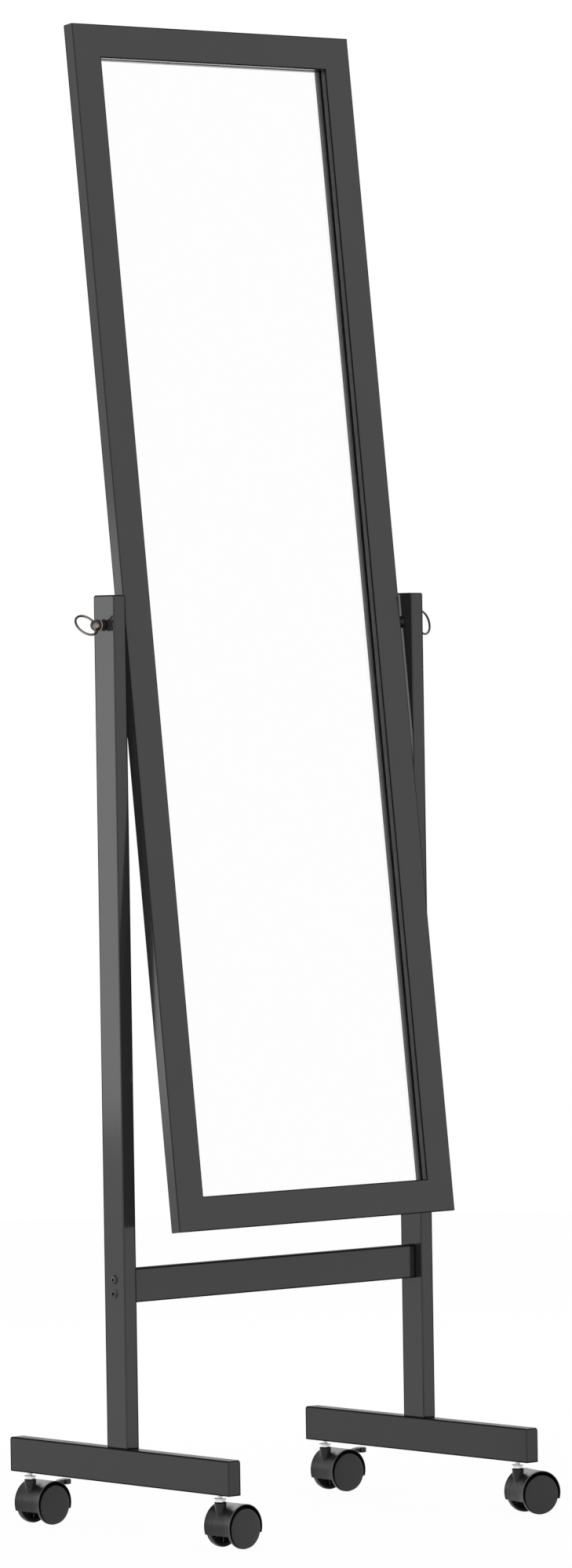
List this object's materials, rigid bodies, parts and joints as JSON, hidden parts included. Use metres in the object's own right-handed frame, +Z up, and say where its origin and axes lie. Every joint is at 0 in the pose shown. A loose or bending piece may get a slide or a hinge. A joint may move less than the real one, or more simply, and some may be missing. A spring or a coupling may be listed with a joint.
{
  "type": "rolling floor mirror",
  "caption": "Full-length framed mirror that tilts between the uprights of a wheeled stand; pull-ring knobs at the pivots and hooded casters with brake levers at the back.",
  "frame": {"origin": "on the floor, in the middle between the two feet", "axes": "+X towards the right-hand upright as a person faces the glass, -Y out of the glass towards that person, +Z up along the uprights"},
  "size_m": [0.4843, 0.3428, 1.4951],
  "materials": {
    "black_lacquer": "black sprayed lacquer, semi-gloss",
    "silvered_glass": "silvered float glass",
    "backing_board": "plain hardboard",
    "dowel_wood": "plain beech",
    "antique_brass": "aged, clear coated",
    "insert_brass": "machined",
    "zinc_steel": "zinc plated",
    "bright_steel": "nickel plated",
    "caster_plastic": "moulded, satin",
    "wheel_nylon": "moulded nylon",
    "bush_nylon": "moulded nylon"
  },
  "bodies": {
    "stand": {"left_upright": "black_lacquer", "right_upright": "black_lacquer", "left_foot": "black_lacquer", "right_foot": "black_lacquer", "crossbar": "black_lacquer", "left_crossbar_screws": "antique_brass", "right_crossbar_screws": "antique_brass", "left_foot_screws": "zinc_steel", "right_foot_screws": "zinc_steel", "left_pivot_bush": "bush_nylon", "right_pivot_bush": "bush_nylon", "left_pivot_spacer": "zinc_steel", "right_pivot_spacer": "zinc_steel", "front_left_socket": "zinc_steel", "front_right_socket": "zinc_steel", "rear_left_socket": "zinc_steel", "rear_right_socket": "zinc_steel", "front_left_stem": "bright_steel", "front_right_stem": "bright_steel", "rear_left_stem": "bright_steel", "rear_right_stem": "bright_steel"},
    "mirror": {"left_stile": "black_lacquer", "right_stile": "black_lacquer", "top_rail": "black_lacquer", "bottom_rail": "black_lacquer", "mirror_glass": "silvered_glass", "backing_board": "backing_board", "backing_clips": "zinc_steel", "clip_screws": "zinc_steel", "corner_dowels": "dowel_wood", "left_threaded_insert": "insert_brass", "right_threaded_insert": "insert_brass"},
    "knob_left": {"left_knob": "antique_brass"},
    "knob_right": {"right_knob": "antique_brass"},
    "ring_left": {"left_ring": "antique_brass"},
    "ring_right": {"right_ring": "antique_brass"},
    "caster_front_left": {"front_left_hood": "caster_plastic", "front_left_axle": "zinc_steel"},
    "wheel_front_left_outer": {"front_left_outer_wheel": "wheel_nylon"},
    "wheel_front_left_inner": {"front_left_inner_wheel": "wheel_nylon"},
    "caster_front_right": {"front_right_hood": "caster_plastic", "front_right_axle": "zinc_steel"},
    "wheel_front_right_outer": {"front_right_outer_wheel": "wheel_nylon"},
    "wheel_front_right_inner": {"front_right_inner_wheel": "wheel_nylon"},
    "caster_rear_left": {"rear_left_hood": "caster_plastic", "rear_left_axle": "zinc_steel", "rear_left_brake_pin": "zinc_steel"},
    "wheel_rear_left_outer": {"rear_left_outer_wheel": "wheel_nylon"},
    "wheel_rear_left_inner": {"rear_left_inner_wheel": "wheel_nylon"},
    "brake_rear_left": {"rear_left_brake_lever": "caster_plastic"},
    "caster_rear_right": {"rear_right_hood": "caster_plastic", "rear_right_axle": "zinc_steel", "rear_right_brake_pin": "zinc_steel"},
    "wheel_rear_right_outer": {"rear_right_outer_wheel": "wheel_nylon"},
    "wheel_rear_right_inner": {"rear_right_inner_wheel": "wheel_nylon"},
    "brake_rear_right": {"rear_right_brake_lever": "caster_plastic"}
  },
  "joints": [
    {"name": "mirror_tilt", "type": "hinge", "parent": "stand", "child": "mirror", "pos_m": [0, 0, 0.8983], "axis": [1, 0, 0], "continuous": true},
    {"name": "left_knob_turn", "type": "hinge", "parent": "stand", "child": "knob_left", "pos_m": [-0.2025, 0, 0.8983], "axis": [1, 0, 0], "continuous": true},
    {"name": "right_knob_turn", "type": "hinge", "parent": "stand", "child": "knob_right", "pos_m": [0.2025, 0, 0.8983], "axis": [1, 0, 0], "continuous": true},
    {"name": "left_ring_swing", "type": "hinge", "parent": "knob_left", "child": "ring_left", "pos_m": [-0.2123, 0, 0.8983], "axis": [0, 0.6428, 0.766], "range_deg": [-90, 90]},
    {"name": "right_ring_swing", "type": "hinge", "parent": "knob_right", "child": "ring_right", "pos_m": [0.2068, 0, 0.8983], "axis": [0, -0.2419, -0.9703], "range_deg": [-75, 105]},
    {"name": "front_left_swivel", "type": "hinge", "parent": "stand", "child": "caster_front_left", "pos_m": [-0.19475, -0.148, 0.046], "axis": [0, 0, 1], "continuous": true},
    {"name": "front_left_outer_wheel_spin", "type": "hinge", "parent": "caster_front_left", "child": "wheel_front_left_outer", "pos_m": [-0.17828, -0.14699, 0.02], "axis": [-0.061, 0.9981, 0], "continuous": true},
    {"name": "front_left_inner_wheel_spin", "type": "hinge", "parent": "caster_front_left", "child": "wheel_front_left_inner", "pos_m": [-0.17828, -0.14699, 0.02], "axis": [-0.061, 0.9981, 0], "continuous": true},
    {"name": "front_right_swivel", "type": "hinge", "parent": "stand", "child": "caster_front_right", "pos_m": [0.19475, -0.148, 0.046], "axis": [0, 0, 1], "continuous": true},
    {"name": "front_right_outer_wheel_spin", "type": "hinge", "parent": "caster_front_right", "child": "wheel_front_right_outer", "pos_m": [0.21095, -0.15115, 0.02], "axis": [0.1908, 0.9816, 0], "continuous": true},
    {"name": "front_right_inner_wheel_spin", "type": "hinge", "parent": "caster_front_right", "child": "wheel_front_right_inner", "pos_m": [0.21095, -0.15115, 0.02], "axis": [0.1908, 0.9816, 0], "continuous": true},
    {"name": "rear_left_swivel", "type": "hinge", "parent": "stand", "child": "caster_rear_left", "pos_m": [-0.19475, 0.148, 0.046], "axis": [0, 0, 1], "continuous": true},
    {"name": "rear_left_outer_wheel_spin", "type": "hinge", "parent": "caster_rear_left", "child": "wheel_rear_left_outer", "pos_m": [-0.17828, 0.14901, 0.02], "axis": [-0.061, 0.9981, 0], "continuous": true},
    {"name": "rear_left_inner_wheel_spin", "type": "hinge", "parent": "caster_rear_left", "child": "wheel_rear_left_inner", "pos_m": [-0.17828, 0.14901, 0.02], "axis": [-0.061, 0.9981, 0], "continuous": true},
    {"name": "rear_left_brake", "type": "hinge", "parent": "caster_rear_left", "child": "brake_rear_left", "pos_m": [-0.1668, 0.14971, 0.0355], "axis": [-0.061, 0.9981, 0], "range_deg": [0, 15]},
    {"name": "rear_right_swivel", "type": "hinge", "parent": "stand", "child": "caster_rear_right", "pos_m": [0.19475, 0.148, 0.046], "axis": [0, 0, 1], "continuous": true},
    {"name": "rear_right_outer_wheel_spin", "type": "hinge", "parent": "caster_rear_right", "child": "wheel_rear_right_outer", "pos_m": [0.21124, 0.14742, 0.02], "axis": [0.0349, 0.9994, 0], "continuous": true},
    {"name": "rear_right_inner_wheel_spin", "type": "hinge", "parent": "caster_rear_right", "child": "wheel_rear_right_inner", "pos_m": [0.21124, 0.14742, 0.02], "axis": [0.0349, 0.9994, 0], "continuous": true},
    {"name": "rear_right_brake", "type": "hinge", "parent": "caster_rear_right", "child": "brake_rear_right", "pos_m": [0.22273, 0.14702, 0.0355], "axis": [0.0349, 0.9994, 0], "range_deg": [0, 15]}
  ]
}
